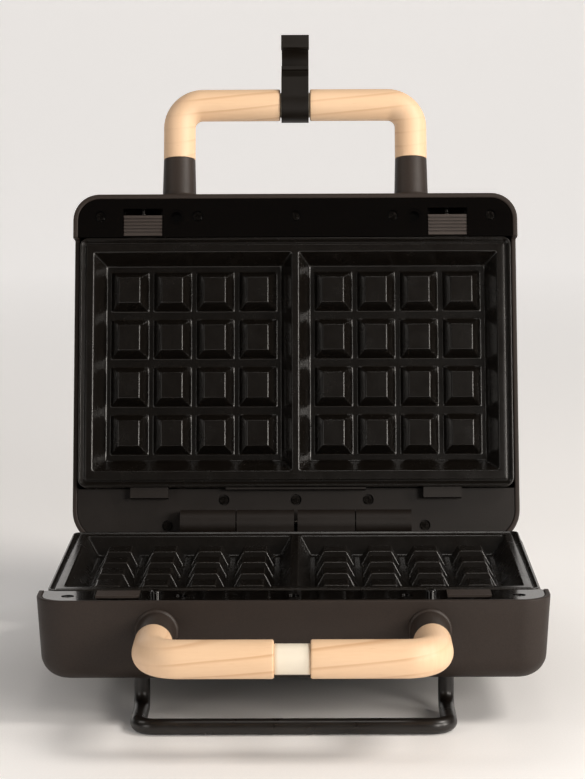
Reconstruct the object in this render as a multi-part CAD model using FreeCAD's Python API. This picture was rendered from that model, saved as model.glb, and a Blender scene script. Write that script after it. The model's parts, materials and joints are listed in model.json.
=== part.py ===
import FreeCAD, Part
import math
import os

# Two-slice waffle maker with wooden bail handles and wire stands, standing with its lid open.
#
# Design frame, millimetres: X to the right, Y from the front rim towards the hinge, Z up, with
# Z = 0 at the split plane where the two halves meet. The base hangs below that plane. The lid is
# drawn the same way, mirrored in the split plane, and then opened about the hinge. At the end
# everything is moved so that the origin is the centre of the whole object's footprint.

V = FreeCAD.Vector
X_AXIS = V(1, 0, 0)
Y_AXIS = V(0, 1, 0)
Z_AXIS = V(0, 0, 1)

# Housings
WIDTH = 280.0
DEPTH = 221.0
HALF_HEIGHT = 46.0
WALL = 3.0
DRAFT = 3.0
FRONT_CORNER = 16.5
REAR_CORNER = 20.5
EDGE_ROUND = 13.0
CONTROL_DEPTH = 28.0
SIDE_CUT = 9.7
RIM_DROP = 0.2
BOSS_R = 4.0

# Lid position
OPEN_ANGLE = 106.7
HINGE_Y = 209.0

# Waffle plates
PLATE_HALF = 135.4
PLATE_FRONT = 28.3
PLATE_REAR = 185.8
PLATE_CORNER = 5.0
PLATE_THICK = 16.0
PLATE_LIP = 1.2
GROOVE_FOOT = 3.3
PLATE_GROOVE = 4.4
GROOVE_DEPTH = 1.9
LAND_DROP = 0.6
SKIRT = 2.4
SKIN = 3.0
CAVITY_OUT = 126.7
CAVITY_IN = 2.2
CAVITY_FRONT = 37.4
CAVITY_REAR = 176.0
FLOOR_OUT = 119.4
FLOOR_IN = 8.8
FLOOR_FRONT = 44.3
FLOOR_REAR = 168.5
FLOOR_Z = -11.8
TOP_Z = -3.5
PITCH_X = 26.9
PITCH_Y = 30.3
ROWS = 4
PYRAMID_BASE = (23.2, 24.8)
PYRAMID_TOP = (13.4, 16.2)

# Control strip along the front edge of each half
STRIP_TOP = -0.6
STRIP_THICK = 2.5
STRIP_SCREWS = (-122.9, -61.5, 0.0, 61.5, 122.9)
SCREW_Y = 14.3
PIN_X = 74.9
PIN_Y = 14.8
PIN_R = 2.7
PIN_RISE = 3.2
SOCKET_R = 3.5
SOCKET_MOUTH = 4.9
SOCKET_DEPTH = 5.2
BUTTON_X = 95.9
BUTTON_HALF = 12.0
BUTTON_Y = (13.8, 26.7)
BUTTON_TOP = -0.35
BUTTON_TRAVEL = 4.0
RIB_COUNT = 6
SPRING_SEAT = (5.6, 6.9)
SPRING_LUG = (14.2, 15.6)
SPRING_Z = -7.6
GAP = 0.4

# Rear covers, hinge and catches
LID_COVER_Z = -9.7
BASE_COVER_Z = -16.4
COVER_THICK = 2.5
COVER_FRONT = 186.2
LEDGE_HALF = 43.5
LEDGE_TOP = -2.0
COVER_SCREWS = ((-45.0, 193.3), (0.0, 193.3), (45.0, 193.3), (-80.2, 209.4), (80.2, 209.4))
BASE_REAR_CUT = 18.4
REAR_CUT_Y = 210.0
BARREL_R = 8.6
HINGE_PIN_R = 2.5
BASE_KNUCKLES = ((-36.5, -1.1), (1.1, 36.5))
LID_KNUCKLES = ((-71.4, -37.2), (37.2, 71.4))
FLANGE_THICK = 3.0
CATCH_X = 91.1
CATCH_HALF = 11.8
CATCH_Y = (186.1, 192.6)

# Handles
HANDLE_X = 73.8
HANDLE_OUT = 61.4
HANDLE_Z = -16.6
GRIP_R = 10.15
CORE_R = 4.0
COLLAR_R = 10.7
COLLAR_TIP_R = 10.1
COLLAR_END = 25.9
COLLAR_FLANGE_R = 11.9
BEND_R = 15.0
SLEEVE_R = 8.05
SLEEVE_HALF = 9.5
NUT_R = 7.0

# Latching clip on the lid's handle
CLIP_WIDTH = 17.4
TAB_WIDTH = 18.0
TAB_END = 17.9
CLIP_BORE = SLEEVE_R + 0.05
CLIP_OUTER = 11.3
CLIP_REACH = -2.0 * HANDLE_Z
HOOK_BORE = SLEEVE_R + 0.35
HOOK_OUTER = 11.6
CLIP_REST_ANGLE = 55.0
WEB_FRONT = (14.4, CLIP_OUTER)
WEB_LIP = (26.0, 3.0)

# Wire stands
WIRE_R = 4.4
LEG_X = 84.0
LEG_Y = 30.0
FOOT_Y = -14.0
FOOT_Z = -65.9
LEG_BEND = 9.0
FOOT_BEND = 10.0

# Heating parts
HEATER_R = 3.25
HEATER_Z = -19.35
HEATER_BEND = 20.0
PAN_TOP = -17.0
PAN_FLOOR = -25.0
PAN_SHEET = 0.8

# Mains inlet
GLAND_X = 100.0
GLAND_Z = -29.5
GLAND_BORE = 3.6

TINY = 0.01


def box(x0, x1, y0, y1, z0, z1):
    return Part.makeBox(x1 - x0, y1 - y0, z1 - z0, V(x0, y0, z0))


def rod(start, direction, radius, length):
    return Part.makeCylinder(radius, length, start, direction)


def ring(start, direction, outer, inner, length):
    return rod(start, direction, outer, length).cut(rod(start, direction, inner, length))


def join(shapes):
    shapes = list(shapes)
    fused = shapes[0] if len(shapes) == 1 else shapes[0].multiFuse(shapes[1:])
    return fused.removeSplitter()


def outline(x0, x1, y0, y1, front_r, rear_r, z):
    """A closed wire round a rectangle whose front and rear corners have their own radii."""
    def arc(cx, cy, r, start):
        points = [V(cx + r * math.cos(a), cy + r * math.sin(a), z)
                  for a in (start, start + math.pi / 4, start + math.pi / 2)]
        return Part.Arc(*points).toShape()

    quarter = math.pi / 2
    corners = [
        arc(x1 - front_r, y0 + front_r, front_r, -quarter),
        arc(x1 - rear_r, y1 - rear_r, rear_r, 0.0),
        arc(x0 + rear_r, y1 - rear_r, rear_r, quarter),
        arc(x0 + front_r, y0 + front_r, front_r, 2 * quarter),
    ]
    edges = []
    for corner, after in zip(corners, corners[1:] + corners[:1]):
        start = corner.Vertexes[-1].Point
        end = after.Vertexes[0].Point
        edges += [corner, Part.makeLine(start, end)]
    return Part.Wire(edges)


def frustum(low, high):
    return Part.makeLoft([low, high], True, True)


def slab(x0, x1, y0, y1, r, z0, z1, rear_r=None):
    face = Part.Face(outline(x0, x1, y0, y1, r, r if rear_r is None else rear_r, z0))
    return face.extrude(V(0, 0, z1 - z0))


def drafted(inset, height, edge_round):
    """The housing's outside shape, or its inside when inset by the wall, down to a given depth."""
    lean = height * math.tan(math.radians(DRAFT))
    wires = []
    for z, pull in ((-height, inset + lean), (0.0, inset)):
        wires.append(outline(-WIDTH / 2 + pull, WIDTH / 2 - pull, pull, DEPTH - pull,
                             FRONT_CORNER - inset, REAR_CORNER - inset, z))
    body = frustum(*wires)
    bottom = [e for e in body.Edges if all(abs(v.Z + height) < TINY for v in e.Vertexes)]
    return body.makeFillet(edge_round, bottom)


def bent_rod(points, radii, radius):
    """A round rod along straight runs joined by tangent arcs, one radius for each inner point."""
    edges = []
    start = points[0]
    for before, corner, after, r in zip(points, points[1:], points[2:], radii):
        into = (corner - before).normalize()
        out = (after - corner).normalize()
        turn = into.getAngle(out)
        reach = r * math.tan(turn / 2)
        a = corner - into * reach
        b = corner + out * reach
        centre_line = (out - into).normalize()
        centre = corner + centre_line * (r / math.cos(turn / 2))
        middle = centre - centre_line * r
        if (a - start).Length > TINY:
            edges.append(Part.makeLine(start, a))
        edges.append(Part.Arc(a, middle, b).toShape())
        start = b
    edges.append(Part.makeLine(start, points[-1]))
    path = Part.Wire(edges)
    section = Part.Wire([Part.makeCircle(radius, points[0], points[1] - points[0])])
    return path.makePipeShell([section], True, True)


def screw(x, y, top, length, head_r=2.6, shank_r=1.4):
    """A cross-recessed screw with its head's face at top, pointing down."""
    head = Part.makeCone(head_r, head_r - 0.3, 1.2, V(x, y, top), V(0, 0, -1))
    body = head.fuse(rod(V(x, y, top - 1.1), V(0, 0, -1), shank_r, length))
    slots = [box(x - 1.7, x + 1.7, y - 0.35, y + 0.35, top - 0.8, top + 1),
             box(x - 0.35, x + 0.35, y - 1.7, y + 1.7, top - 0.8, top + 1)]
    return body.cut(join(slots)).removeSplitter()


def hex_nut(centre, direction, thick):
    points = [V(NUT_R * math.cos(math.radians(60 * i)), NUT_R * math.sin(math.radians(60 * i)), 0)
              for i in range(7)]
    nut = Part.Face(Part.makePolygon(points)).extrude(V(0, 0, thick))
    nut = nut.cut(rod(V(0, 0, -1), Z_AXIS, CORE_R, thick + 2))
    nut.Placement = FreeCAD.Placement(centre, FreeCAD.Rotation(Z_AXIS, direction))
    return nut


# ---- Shapes shared by both halves, drawn as in the base ----

def housing(cover_z, rear_cut):
    shell = drafted(0.0, HALF_HEIGHT, EDGE_ROUND).cut(
        drafted(WALL, HALF_HEIGHT - WALL, EDGE_ROUND - WALL))
    far = WIDTH
    shell = shell.cut(box(-far, far, -1, DEPTH + 1, -RIM_DROP, 1))
    shell = shell.cut(box(-far, far, CONTROL_DEPTH, DEPTH + 1, -SIDE_CUT, 1))
    if rear_cut > SIDE_CUT:
        shell = shell.cut(box(-far, far, REAR_CUT_Y, DEPTH + 1, -rear_cut, 1))
    floor_z = -HALF_HEIGHT + WALL
    bosses = [rod(V(x, SCREW_Y, floor_z - 1), Z_AXIS, BOSS_R,
                  STRIP_TOP - STRIP_THICK - floor_z + 1) for x in STRIP_SCREWS]
    for x, y in COVER_SCREWS:
        under = cover_z - COVER_THICK - (FLANGE_THICK if abs(x) < 60 else 0)
        bosses.append(rod(V(x, y, floor_z - 1), Z_AXIS, BOSS_R, under - floor_z + 1))
    bosses += [rod(V(x, y, floor_z - 1), Z_AXIS, BOSS_R, PAN_FLOOR - floor_z + 1)
               for x in (-112.0, 112.0) for y in (52.0, 160.0)]
    inside = drafted(1.0, HALF_HEIGHT - 1.0, EDGE_ROUND - 1.0)
    shell = join([shell] + [b.common(inside) for b in bosses])
    for x in STRIP_SCREWS:
        shell = shell.cut(rod(V(x, SCREW_Y, -14), Z_AXIS, 1.4, 20))
    for x, y in COVER_SCREWS:
        shell = shell.cut(rod(V(x, y, cover_z - 13.5), Z_AXIS, 1.4, 20))
    for x in (-HANDLE_X, HANDLE_X):
        shell = shell.cut(rod(V(x, -5, HANDLE_Z), Y_AXIS, CORE_R, 20))
    return shell.removeSplitter()


def plate():
    half = PLATE_HALF
    body = slab(-half, half, PLATE_FRONT, PLATE_REAR, PLATE_CORNER, -PLATE_THICK, -RIM_DROP)

    def inset(d, z0, z1):
        r = max(PLATE_CORNER - d, 1.2)
        return slab(-half + d, half - d, PLATE_FRONT + d, PLATE_REAR - d, r, z0, z1)

    lip, foot = PLATE_LIP, GROOVE_FOOT
    groove = frustum(
        outline(-half + foot, half - foot, PLATE_FRONT + foot, PLATE_REAR - foot,
                PLATE_CORNER - foot, PLATE_CORNER - foot, -GROOVE_DEPTH),
        outline(-half + lip, half - lip, PLATE_FRONT + lip, PLATE_REAR - lip,
                PLATE_CORNER - lip, PLATE_CORNER - lip, -RIM_DROP + TINY))
    groove = groove.cut(inset(PLATE_GROOVE, -GROOVE_DEPTH - 1, 2))
    body = body.cut(groove).cut(inset(PLATE_GROOVE - TINY, -LAND_DROP, 1))
    slope = FLOOR_OUT + SKIN + 2
    ridge = frustum(
        outline(-slope, slope, FLOOR_FRONT - SKIN, FLOOR_REAR + SKIN, 3, 3, -PLATE_THICK - 1),
        outline(-half + 5.5, half - 5.5, PLATE_FRONT + 5.5, PLATE_REAR - 5.5, 2, 2, -SKIN))
    body = body.cut(inset(SKIRT, -PLATE_THICK - 1, -SKIN - 0.6).cut(ridge))
    centre_y = (FLOOR_FRONT + FLOOR_REAR) / 2
    centre_x = (FLOOR_IN + FLOOR_OUT) / 2
    blocks = []
    for side in (-1, 1):
        xs = sorted((side * CAVITY_IN, side * CAVITY_OUT))
        fs = sorted((side * FLOOR_IN, side * FLOOR_OUT))
        body = body.cut(frustum(
            outline(fs[0], fs[1], FLOOR_FRONT, FLOOR_REAR, 2.5, 2.5, FLOOR_Z),
            outline(xs[0], xs[1], CAVITY_FRONT, CAVITY_REAR, 4, 4, -LAND_DROP)))
        body = body.cut(slab(xs[0], xs[1], CAVITY_FRONT, CAVITY_REAR, 4, -LAND_DROP - TINY, 1))
        for i in range(ROWS):
            for j in range(ROWS):
                x = side * centre_x + (i - (ROWS - 1) / 2) * PITCH_X
                y = centre_y + (j - (ROWS - 1) / 2) * PITCH_Y
                bx, by = (d / 2 for d in PYRAMID_BASE)
                tx, ty = (d / 2 for d in PYRAMID_TOP)
                blocks.append(frustum(
                    outline(x - bx, x + bx, y - by, y + by, 1.5, 1.5, FLOOR_Z - 0.5),
                    outline(x - tx, x + tx, y - ty, y + ty, 1.0, 1.0, TOP_Z)))
    body = join([body] + blocks)
    for side in (-1, 1):
        x = side * BUTTON_X
        body = body.cut(box(x - 9, x + 9, PLATE_FRONT - 1, PLATE_FRONT + 4.2, -6.0, -3.6))
        x = side * CATCH_X
        body = body.cut(box(x - 10, x + 10, PLATE_REAR - 3.4, PLATE_REAR + 1, -6.6, -4.2))
    return body.removeSplitter()


def heating_element():
    x, front, back = 108.0, 52.0, 176.0
    points = [V(-x, back, HEATER_Z), V(-x, front, HEATER_Z),
              V(x, front, HEATER_Z), V(x, back, HEATER_Z)]
    tube = bent_rod(points, [HEATER_BEND] * 2, HEATER_R)
    pins = [rod(V(s * x, back, HEATER_Z), Y_AXIS, 1.2, 6) for s in (-1, 1)]
    return join([tube] + pins)


def reflector():
    outer = slab(-126, 126, 36, 184, 6, PAN_FLOOR, PAN_TOP)
    pan = outer.cut(slab(-126 + PAN_SHEET, 126 - PAN_SHEET, 36 + PAN_SHEET, 184 - PAN_SHEET,
                         6 - PAN_SHEET, PAN_FLOOR + PAN_SHEET, PAN_TOP + 1))
    return pan


def heater_clips():
    """Saddles that hold the heating element up against the plate from the reflector."""
    clips = []
    for x in (-108.0, 108.0):
        for y in (90.0, 150.0):
            post = box(x - 5, x + 5, y - 4, y + 4, PAN_FLOOR + PAN_SHEET, HEATER_Z)
            clips.append(post.cut(rod(V(x, y - 9, HEATER_Z), Y_AXIS, HEATER_R, 18)))
    return clips


def strip(sockets):
    edge = WALL + 0.2
    panel = slab(-WIDTH / 2 + edge, WIDTH / 2 - edge, edge, 60, FRONT_CORNER - edge,
                 STRIP_TOP - STRIP_THICK, STRIP_TOP)
    panel = panel.cut(box(-WIDTH, WIDTH, CONTROL_DEPTH - 0.3, 70, -10, 10))
    inner = drafted(edge, HALF_HEIGHT - WALL - 1, EDGE_ROUND - WALL)
    panel = panel.common(inner)
    under = STRIP_TOP - STRIP_THICK
    extra = []
    for side in (-1, 1):
        x = side * BUTTON_X
        for s in (-1, 1):
            wall = sorted((x + s * (BUTTON_HALF + 2.4), x + s * (BUTTON_HALF + 4.0)))
            lip = sorted((x + s * (BUTTON_HALF - 1.0), x + s * (BUTTON_HALF + 4.0)))
            extra.append(box(wall[0], wall[1], 4.0, 27.4, -7.2, under))
            extra.append(box(lip[0], lip[1], 4.0, 27.4, -7.2, -5.9))
        extra.append(box(x - BUTTON_HALF - 2.4, x + BUTTON_HALF + 2.4, *SPRING_SEAT, -9.6, -6.0))
        if sockets:
            extra.append(rod(V(side * PIN_X, PIN_Y, STRIP_TOP - SOCKET_DEPTH - 1.4), Z_AXIS,
                             SOCKET_MOUTH + 1.2, SOCKET_DEPTH))
    panel = join([panel] + extra)
    for side in (-1, 1):
        x = side * BUTTON_X
        panel = panel.cut(box(x - BUTTON_HALF - GAP, x + BUTTON_HALF + GAP,
                              BUTTON_Y[0] - BUTTON_TRAVEL - GAP, BUTTON_Y[1] + GAP, under - TINY, 1))
        if sockets:
            mouth = V(side * PIN_X, PIN_Y, STRIP_TOP)
            panel = panel.cut(rod(mouth, -Z_AXIS, SOCKET_R, SOCKET_DEPTH))
            panel = panel.cut(rod(mouth, -Z_AXIS, SOCKET_MOUTH, 1.0))
            panel = panel.fuse(ring(mouth + V(0, 0, -0.4), -Z_AXIS, SOCKET_R + 0.8, SOCKET_R, 1.0))
    for x in STRIP_SCREWS:
        panel = panel.cut(rod(V(x, SCREW_Y, STRIP_TOP - 1.8), Z_AXIS, 3.5, 5))
        panel = panel.cut(rod(V(x, SCREW_Y, -8), Z_AXIS, 1.4, 10))
    return panel.removeSplitter()


def button(side):
    """A ribbed release slider with a tongue that holds the plate's front edge."""
    x = side * BUTTON_X
    y0, y1 = BUTTON_Y
    head = box(x - BUTTON_HALF, x + BUTTON_HALF, y0, y1, -3.6, BUTTON_TOP)
    flange = box(x - BUTTON_HALF - 2.0, x + BUTTON_HALF + 2.0, y0 - 0.6, y1 + 0.8, -5.5, -3.5)
    tongue = box(x - 8, x + 8, y1, PLATE_FRONT + 3.4, -5.5, -4.0)
    lug = box(x - 4, x + 4, *SPRING_LUG, -9.6, -5.4)
    body = join([head, flange, tongue, lug])
    pitch = (y1 - y0) / RIB_COUNT
    for i in range(RIB_COUNT - 1):
        y = y0 + (i + 1) * pitch
        body = body.cut(box(x - BUTTON_HALF - 1, x + BUTTON_HALF + 1, y - 0.5, y + 0.5,
                            BUTTON_TOP - 1.0, 1))
    return body.removeSplitter()


def button_spring(side):
    """A compression coil between the slider's lug and its seat under the strip."""
    length, turns, coil_r, wire_r = SPRING_LUG[0] - SPRING_SEAT[1], 6.0, 1.2, 0.25
    helix = Part.makeHelix(length / turns, length - 2 * wire_r, coil_r)
    section = Part.Wire([Part.makeCircle(wire_r, V(coil_r, 0, 0), Y_AXIS)])
    coil = Part.Wire(helix).makePipeShell([section], True, True)
    place = FreeCAD.Placement(V(side * BUTTON_X, SPRING_SEAT[1] + wire_r, SPRING_Z),
                              FreeCAD.Rotation(Z_AXIS, Y_AXIS))
    coil.Placement = place
    return coil


def rear_cover(cover_z, hinge_spans):
    edge = WALL + 0.3
    lean = -cover_z * math.tan(math.radians(DRAFT))
    far = WIDTH / 2 - edge - lean
    panel = slab(-far, far, 100, DEPTH - edge - lean, 10, cover_z - COVER_THICK, cover_z,
                 REAR_CORNER - edge)
    panel = panel.cut(box(-WIDTH, WIDTH, 90, COVER_FRONT, -40, 10))
    ledge = box(-LEDGE_HALF, LEDGE_HALF, COVER_FRONT, COVER_FRONT + 1.2, cover_z - 0.5, LEDGE_TOP)
    panel = join([panel.common(drafted(edge, HALF_HEIGHT - WALL - 1, EDGE_ROUND - WALL)), ledge])
    for x0, x1 in hinge_spans:
        panel = panel.cut(box(x0 - 0.3, x1 + 0.3, HINGE_Y - BARREL_R - 0.3, HINGE_Y + 4.3, -40, 10))
    for x, y in COVER_SCREWS:
        panel = panel.cut(rod(V(x, y, cover_z - 1.8), Z_AXIS, 3.5, 10))
        panel = panel.cut(rod(V(x, y, cover_z - 8), Z_AXIS, 1.4, 10))
    return panel.removeSplitter()


def hinge_bracket(cover_z, spans, bore):
    under = cover_z - COVER_THICK
    flange = box(-74, 74, 188.8, 214, under - FLANGE_THICK, under)
    pieces = [flange]
    for x0, x1 in spans:
        pieces.append(rod(V(x0, HINGE_Y, 0), X_AXIS, BARREL_R, x1 - x0))
        pieces.append(box(x0, x1, HINGE_Y - BARREL_R, HINGE_Y + 4.0, under - 0.5, 0))
    body = join(pieces).cut(rod(V(-100, HINGE_Y, 0), X_AXIS, bore, 200))
    for x, y in COVER_SCREWS[:3]:
        body = body.cut(rod(V(x, y, under - 10), Z_AXIS, 1.4, 20))
    return body.removeSplitter()


def catches(cover_z):
    """Fixed hooks behind each plate, with a tongue into the plate's rear skirt."""
    hooks = []
    for side in (-1, 1):
        x = side * CATCH_X
        block = box(x - CATCH_HALF, x + CATCH_HALF, CATCH_Y[0], CATCH_Y[1], cover_z, -2.0)
        tongue = box(x - 8, x + 8, PLATE_REAR - 2.6, CATCH_Y[0] + 1, -6.2, -4.6)
        hooks.append(join([block, tongue]))
    return hooks


def handle_core():
    points = [V(-HANDLE_X, 9.5, HANDLE_Z), V(-HANDLE_X, -HANDLE_OUT, HANDLE_Z),
              V(HANDLE_X, -HANDLE_OUT, HANDLE_Z), V(HANDLE_X, 9.5, HANDLE_Z)]
    return bent_rod(points, [BEND_R] * 2, CORE_R)


def grip(side):
    points = [V(side * HANDLE_X, -COLLAR_END, HANDLE_Z), V(side * HANDLE_X, -HANDLE_OUT, HANDLE_Z),
              V(side * SLEEVE_HALF, -HANDLE_OUT, HANDLE_Z)]
    wood = bent_rod(points, [BEND_R], GRIP_R)
    end = [e for e in wood.Edges
           if abs(abs(e.CenterOfMass.x) - SLEEVE_HALF) < TINY and e.Curve.TypeId == "Part::GeomCircle"]
    wood = wood.makeFillet(0.9, end)
    points[0].y += 1
    points[2].x -= side
    return wood.cut(bent_rod(points, [BEND_R], CORE_R))


def collars():
    outside = drafted(0.0, HALF_HEIGHT, EDGE_ROUND)
    pieces = []
    for x in (-HANDLE_X, HANDLE_X):
        tube = Part.makeCone(COLLAR_TIP_R, COLLAR_R, COLLAR_END, V(x, -COLLAR_END, HANDLE_Z), Y_AXIS)
        root = rod(V(x, -TINY, HANDLE_Z), Y_AXIS, COLLAR_R, 4)
        flange = rod(V(x, -1.6, HANDLE_Z), Y_AXIS, COLLAR_FLANGE_R, 6)
        body = join([tube, root, flange])
        body = body.cut(rod(V(x, -COLLAR_END - 1, HANDLE_Z), Y_AXIS, CORE_R, 40)).cut(outside)
        pieces.append(body)
    return pieces


def handle_sleeve():
    return ring(V(-SLEEVE_HALF, -HANDLE_OUT, HANDLE_Z), X_AXIS, SLEEVE_R, CORE_R, 2 * SLEEVE_HALF)


def handle_nuts():
    return [hex_nut(V(x, 4.9, HANDLE_Z), Y_AXIS, 4.0) for x in (-HANDLE_X, HANDLE_X)]


def strip_screws():
    return [screw(x, SCREW_Y, STRIP_TOP - 0.6, 9.0) for x in STRIP_SCREWS]


def cover_screws(cover_z):
    return [screw(x, y, cover_z - 0.6, 10.0) for x, y in COVER_SCREWS]


# ---- Pieces of one half only ----

def locating_pins():
    """Round-nosed pins on the base strip that centre the lid."""
    pins = []
    for x in (-PIN_X, PIN_X):
        body = rod(V(x, PIN_Y, STRIP_TOP), Z_AXIS, PIN_R, PIN_RISE)
        top = [e for e in body.Edges if abs(e.CenterOfMass.z - STRIP_TOP - PIN_RISE) < TINY]
        pins.append(body.makeFillet(1.2, top))
    return pins


def hinge_pin():
    half = LID_KNUCKLES[1][1]
    return rod(V(-half, HINGE_Y, 0), X_AXIS, HINGE_PIN_R, 2 * half)


def rear_wall_y(z):
    return DEPTH + z * math.tan(math.radians(DRAFT))


def cord_gland():
    wall = rear_wall_y(GLAND_Z)
    start = V(GLAND_X, wall - WALL - 3.5, GLAND_Z)
    sleeve = rod(start, Y_AXIS, 5.6, 12.5)
    inner = rod(start, Y_AXIS, 7.5, 6.0).common(
        drafted(WALL + 0.05, HALF_HEIGHT - WALL, EDGE_ROUND - WALL))
    outer = Part.makeCone(7.6, 6.4, 3.5, V(GLAND_X, wall + 0.35, GLAND_Z), Y_AXIS)
    body = join([sleeve, inner, outer])
    return body.cut(rod(start - V(0, 1, 0), Y_AXIS, GLAND_BORE, 30))


def stand(mirror_y):
    """A wire U whose legs drop from the base and turn outwards to a crossbar on the table."""
    def at(x, y, z):
        return V(x, DEPTH - y if mirror_y else y, z)

    points = [at(-LEG_X, LEG_Y, -HALF_HEIGHT), at(-LEG_X, LEG_Y, FOOT_Z),
              at(-LEG_X, FOOT_Y, FOOT_Z), at(LEG_X, FOOT_Y, FOOT_Z),
              at(LEG_X, LEG_Y, FOOT_Z), at(LEG_X, LEG_Y, -HALF_HEIGHT)]
    wire = bent_rod(points, [LEG_BEND, FOOT_BEND, FOOT_BEND, LEG_BEND], WIRE_R)
    for x in (-LEG_X, LEG_X):
        foot = at(x, LEG_Y, -HALF_HEIGHT - 8.0)
        wire = wire.cut(rod(foot, Z_AXIS, 1.6, 10))
    return wire.removeSplitter()


def stand_screws():
    screws = []
    floor_z = -HALF_HEIGHT + WALL
    for x in (-LEG_X, LEG_X):
        for y in (LEG_Y, DEPTH - LEG_Y):
            head = rod(V(x, y, floor_z), Z_AXIS, 4.0, 2.2)
            shank = rod(V(x, y, -HALF_HEIGHT - 7.5), Z_AXIS, 1.6, floor_z + HALF_HEIGHT + 8.0)
            screws.append(join([head, shank]))
    return screws


def thermostat():
    can = rod(V(0, 66, PAN_FLOOR), V(0, 0, -1), 9.0, 7.0)
    flange = box(-14, 14, 62, 70, PAN_FLOOR - 1.2, PAN_FLOOR)
    blades = [box(x - 0.4, x + 0.4, 63, 69, PAN_FLOOR - 13, PAN_FLOOR - 6) for x in (-4.0, 4.0)]
    return join([can, flange] + blades)


def terminal_block():
    body = box(62, 92, 168, 182, -HALF_HEIGHT + WALL, -33)
    for i in range(3):
        body = body.cut(rod(V(67 + 10 * i, 175, -36), Z_AXIS, 2.2, 10))
        body = body.cut(rod(V(67 + 10 * i, 160, -39.5), Y_AXIS, 1.8, 30))
    return body


def thermal_fuse():
    body = rod(V(-9, 66, PAN_FLOOR - 3.2), X_AXIS, 3.0, 18)
    leads = [rod(V(-24, 66, PAN_FLOOR - 3.2), X_AXIS, 0.5, 16),
             rod(V(8, 66, PAN_FLOOR - 3.2), X_AXIS, 0.5, 16)]
    return join([body] + leads)


LENS_R = 3.0
LENS_X = 11.0
LENS_Y = 36.0


def indicator_lens(side):
    base = V(side * LENS_X, LENS_Y, -HALF_HEIGHT)
    stem = rod(base, Z_AXIS, LENS_R, WALL)
    collar = rod(base + V(0, 0, WALL), Z_AXIS, LENS_R + 1.2, 1.2)
    cap = Part.makeCone(LENS_R - 0.7, LENS_R, 0.9, base - V(0, 0, 0.9), Z_AXIS)
    return join([stem, collar, cap])


def lamp_board():
    board = box(-24, 24, 30, 42, -HALF_HEIGHT + WALL + 6.5, -HALF_HEIGHT + WALL + 8.1)
    lamps = [rod(V(s * LENS_X, LENS_Y, -HALF_HEIGHT + WALL + 2.0), Z_AXIS, 2.0, 4.8)
             for s in (-1, 1)]
    return join([board] + lamps)


def handle_clip():
    """Ring round the lid handle's sleeve, web, open hook and finger tab, in the clip's own plane.

    Local u runs from the ring to the hook and v towards the hook's mouth. It is drawn with u
    along Y and v along Z, then leaned and moved to the handle.
    """
    half = CLIP_WIDTH / 2
    start = V(-half, 0, 0)
    hook_start = V(-half, CLIP_REACH, 0)
    web = [V(-half, u, v) for u, v in ((0, CLIP_OUTER), WEB_FRONT, WEB_LIP, (26, -5), (0, -5),
                                       (0, CLIP_OUTER))]
    body = join([
        rod(start, X_AXIS, CLIP_OUTER, CLIP_WIDTH),
        Part.Face(Part.makePolygon(web)).extrude(V(CLIP_WIDTH, 0, 0)),
        rod(hook_start, X_AXIS, HOOK_OUTER, CLIP_WIDTH),
        box(-TAB_WIDTH / 2, TAB_WIDTH / 2, CLIP_REACH + 7.9, CLIP_REACH + TAB_END, 1.9, 4.6),
    ])
    mouth = HOOK_BORE - 1.2
    body = body.cut(rod(start, X_AXIS, CLIP_BORE, CLIP_WIDTH))
    body = body.cut(rod(hook_start, X_AXIS, HOOK_BORE, CLIP_WIDTH))
    body = body.cut(box(-half, half, CLIP_REACH - mouth, CLIP_REACH + mouth, 0, 20))
    body = body.cut(box(-half, half, CLIP_REACH - 12, CLIP_REACH + 12, 6.2, 20))
    return body.removeSplitter()


# ---- Assembly ----

def opened(shape):
    """A base-like shape turned into its place on the open lid."""
    lid = shape.mirror(V(0, 0, 0), Z_AXIS)
    lid.rotate(V(0, HINGE_Y, 0), X_AXIS, -OPEN_ANGLE)
    return lid


def base_housing():
    shell = housing(BASE_COVER_Z, BASE_REAR_CUT)
    shell = shell.cut(rod(V(GLAND_X, DEPTH - 20, GLAND_Z), Y_AXIS, 5.6, 30))
    for x in (-LEG_X, LEG_X):
        for y in (LEG_Y, DEPTH - LEG_Y):
            shell = shell.cut(rod(V(x, y, -HALF_HEIGHT - 1), Z_AXIS, 1.6, WALL + 2))
    return shell


def lid_housing():
    shell = housing(LID_COVER_Z, 0.0)
    for side in (-1, 1):
        shell = shell.cut(rod(V(side * LENS_X, LENS_Y, -HALF_HEIGHT - 1), Z_AXIS, LENS_R, WALL + 2))
    return shell


def placed_clip():
    pivot_y = -HANDLE_OUT - HINGE_Y
    lean = math.radians(-OPEN_ANGLE)
    y = HINGE_Y + pivot_y * math.cos(lean) + HANDLE_Z * math.sin(lean)
    z = pivot_y * math.sin(lean) - HANDLE_Z * math.cos(lean)
    clip = handle_clip()
    clip.rotate(V(0, 0, 0), X_AXIS, CLIP_REST_ANGLE)
    clip.translate(V(0, y, z))
    return clip


def as_group(shape):
    return Part.makeCompound(shape) if isinstance(shape, list) else shape


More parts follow.
